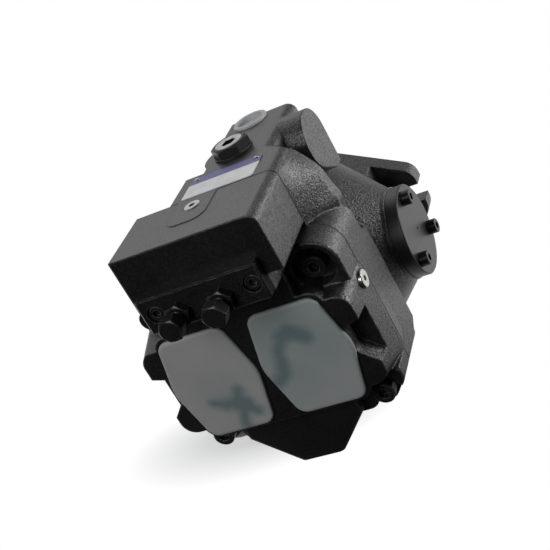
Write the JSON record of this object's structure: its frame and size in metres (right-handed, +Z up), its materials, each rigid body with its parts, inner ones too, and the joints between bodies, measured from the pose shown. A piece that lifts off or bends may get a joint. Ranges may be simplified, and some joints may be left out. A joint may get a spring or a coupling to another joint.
{
  "type": "hydraulic piston pump",
  "caption": "Variable axial piston hydraulic pump with a keyed drive shaft, slotted mounting flange, side trunnion covers and a compensator block above flanged rear ports.",
  "frame": {"origin": "centre of the mounting face, on the drive shaft axis", "axes": "+Y along the drive shaft, out of the pump; +Z up; +X to the right seen from the ports"},
  "size_m": [0.248, 0.3618, 0.2575],
  "materials": {
    "casting": "satin black paint over fine cast grain",
    "black_steel": "black paint and black oxide",
    "machined_steel": "ground steel",
    "bronze": "machined bearing bronze",
    "rubber": "moulded nitrile",
    "gasket": "fibre sheet",
    "plate": "printed, bare of words",
    "bright_plug": "zinc plated",
    "black_plug": "black with a bright rim",
    "frosted_plastic": "frosted, slightly see-through",
    "white_plastic": "frosted, slightly see-through"
  },
  "bodies": {
    "casing": {"housing": "casting", "port_block": "casting", "cover_gasket": "gasket", "cover_bolts": "black_steel", "adjuster_bar": "black_steel", "adjuster_bar_screws": "black_steel", "adjuster_lock_nuts": "black_steel", "trunnion_cover_right": "black_steel", "trunnion_cover_left": "black_steel", "trunnion_cover_orings": "rubber", "trunnion_cover_screws": "black_steel", "trunnion_bushes": "bronze", "yoke": "machined_steel", "wear_plate": "bronze", "control_piston": "machined_steel", "bias_plunger": "machined_steel", "bias_spring": "machined_steel", "front_bearing_cup": "machined_steel", "rear_bearing_ring": "machined_steel", "shaft_seal": "rubber", "seal_retaining_ring": "machined_steel", "valve_plate": "bronze", "valve_plate_pin": "machined_steel", "nameplate": "plate", "nameplate_rivets": "plate", "fill_plug": "black_plug", "fill_plug_washer": "bright_plug", "top_plug": "bright_plug", "side_plug": "bright_plug"},
    "rotor": {"drive_shaft": "machined_steel", "shaft_key": "machined_steel", "cylinder_barrel": "bronze", "pistons": "machined_steel", "slippers": "bronze", "slipper_retainer": "machined_steel", "ball_guide": "machined_steel", "barrel_spring": "machined_steel", "front_bearing_cone": "machined_steel", "front_bearing_rollers": "machined_steel", "rear_bearing_rollers": "machined_steel"},
    "pressure_seat": {"pressure_spring_seat": "machined_steel", "pressure_spring": "machined_steel"},
    "pressure_screw": {"pressure_adjusting_screw": "black_steel"},
    "flow_seat": {"flow_spring_seat": "machined_steel", "flow_spring": "machined_steel"},
    "flow_screw": {"flow_adjusting_screw": "black_steel"},
    "pressure_valve": {"pressure_spool": "machined_steel"},
    "flow_valve": {"flow_spool": "machined_steel"},
    "left_cap": {"port_cap_left": "frosted_plastic"},
    "right_cap": {"port_cap_right": "frosted_plastic"},
    "drain_cover": {"drain_cap": "white_plastic"}
  },
  "joints": [
    {"name": "shaft_turn", "type": "hinge", "parent": "casing", "child": "rotor", "pos_m": [0, 0, 0], "axis": [0, 1, 0], "continuous": true},
    {"name": "pressure_seat_travel", "type": "slide", "parent": "casing", "child": "pressure_seat", "axis": [0, 1, 0], "range_m": [-0.0015, 0.0045], "deforming": ["pressure_spring"]},
    {"name": "pressure_screw_turn", "type": "hinge", "parent": "pressure_seat", "child": "pressure_screw", "pos_m": [-0.0134, -0.2808, 0.0888], "axis": [0, 1, 0], "range_deg": [-370, 1090]},
    {"name": "flow_seat_travel", "type": "slide", "parent": "casing", "child": "flow_seat", "axis": [0, 1, 0], "range_m": [-0.0015, 0.0045], "deforming": ["flow_spring"]},
    {"name": "flow_screw_turn", "type": "hinge", "parent": "flow_seat", "child": "flow_screw", "pos_m": [0.0248, -0.2808, 0.0888], "axis": [0, 1, 0], "range_deg": [-370, 1090]},
    {"name": "pressure_spool_travel", "type": "slide", "parent": "casing", "child": "pressure_valve", "axis": [0, 1, 0], "range_m": [-0.002, 0.002]},
    {"name": "flow_spool_travel", "type": "slide", "parent": "casing", "child": "flow_valve", "axis": [0, 1, 0], "range_m": [-0.002, 0.002]},
    {"name": "left_cap_pull", "type": "slide", "parent": "casing", "child": "left_cap", "axis": [0, -1, 0], "range_m": [0, 0.2]},
    {"name": "right_cap_pull", "type": "slide", "parent": "casing", "child": "right_cap", "axis": [0, -1, 0], "range_m": [0, 0.2]},
    {"name": "drain_cap_pull", "type": "slide", "parent": "casing", "child": "drain_cover", "axis": [0, 0, 1], "range_m": [0, 0.1]}
  ],
  "couplings": [
    {"joint": "pressure_screw_turn", "follows": "pressure_seat_travel", "rad_per_m": 4188.8},
    {"joint": "flow_screw_turn", "follows": "flow_seat_travel", "rad_per_m": 4188.8}
  ]
}
